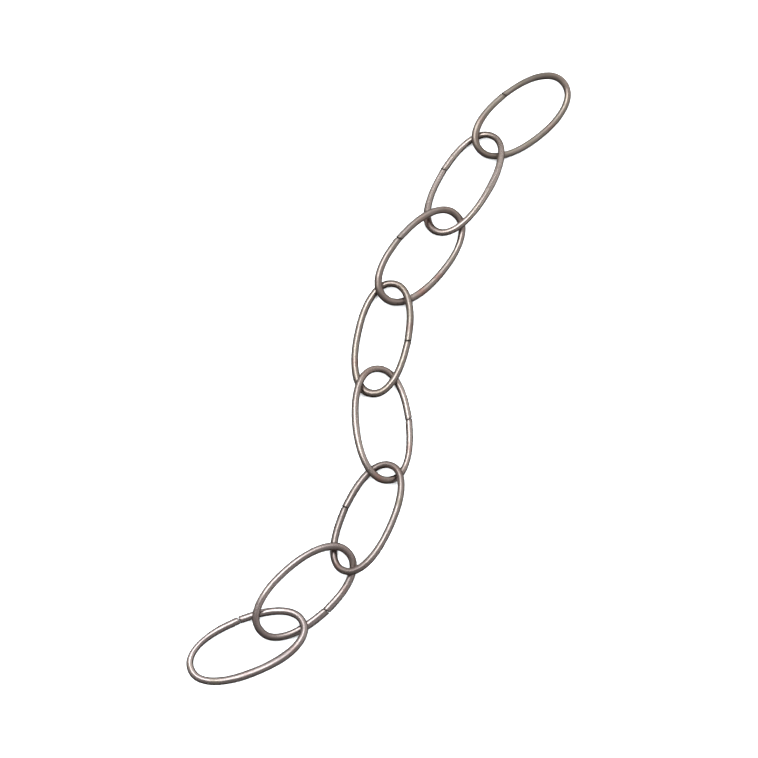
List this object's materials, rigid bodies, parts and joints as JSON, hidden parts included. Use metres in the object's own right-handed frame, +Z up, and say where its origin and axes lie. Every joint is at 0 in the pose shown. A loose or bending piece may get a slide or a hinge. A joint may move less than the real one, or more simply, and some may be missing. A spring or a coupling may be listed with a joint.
{
  "type": "length of oval link chain",
  "caption": "Slack length of oval link chain lying in an S curve. Each open link of round wire passes through the next and swivels on it.",
  "frame": {"origin": "on the floor under the middle of the chain's box", "axes": "+Y along the run of the chain towards its upper end in the picture, +X to the picture's right, +Z up from the floor"},
  "size_m": [0.1745, 0.2866, 0.0106],
  "materials": {
    "antiqued_iron": "brushed antique iron, warm grey-brown, with rubbed bright streaks and small rusty patches"
  },
  "bodies": {
    "link_1": {"link_1": "antiqued_iron"},
    "link_2": {"link_2": "antiqued_iron"},
    "link_3": {"link_3": "antiqued_iron"},
    "link_4": {"link_4": "antiqued_iron"},
    "link_5": {"link_5": "antiqued_iron"},
    "link_6": {"link_6": "antiqued_iron"},
    "link_7": {"link_7": "antiqued_iron"},
    "link_8": {"link_8": "antiqued_iron"}
  },
  "joints": [
    {"name": "swivel_2", "type": "hinge", "parent": "link_1", "child": "link_2", "pos_m": [0.04499, 0.11063, 0], "axis": [0, 0, 1], "range_deg": [-28, 30]},
    {"name": "swivel_3", "type": "hinge", "parent": "link_2", "child": "link_3", "pos_m": [0.03298, 0.07019, 0], "axis": [0, 0, 1], "range_deg": [-38, 32]},
    {"name": "swivel_4", "type": "hinge", "parent": "link_3", "child": "link_4", "pos_m": [0.00217, 0.03259, 0], "axis": [0, 0, 1], "range_deg": [-18, 16]},
    {"name": "swivel_5", "type": "hinge", "parent": "link_4", "child": "link_5", "pos_m": [-0.00529, -0.00532, 0], "axis": [0, 0, 1], "range_deg": [-26, 28]},
    {"name": "swivel_6", "type": "hinge", "parent": "link_5", "child": "link_6", "pos_m": [-0.0021, -0.04751, 0], "axis": [0, 0, 1], "range_deg": [-9, 30]},
    {"name": "swivel_7", "type": "hinge", "parent": "link_6", "child": "link_7", "pos_m": [-0.02118, -0.09028, 0], "axis": [0, 0, 1], "range_deg": [-18, 11]},
    {"name": "swivel_8", "type": "hinge", "parent": "link_7", "child": "link_8", "pos_m": [-0.04316, -0.10859, 0], "axis": [0, 0, 1], "range_deg": [-45, 20]}
  ]
}
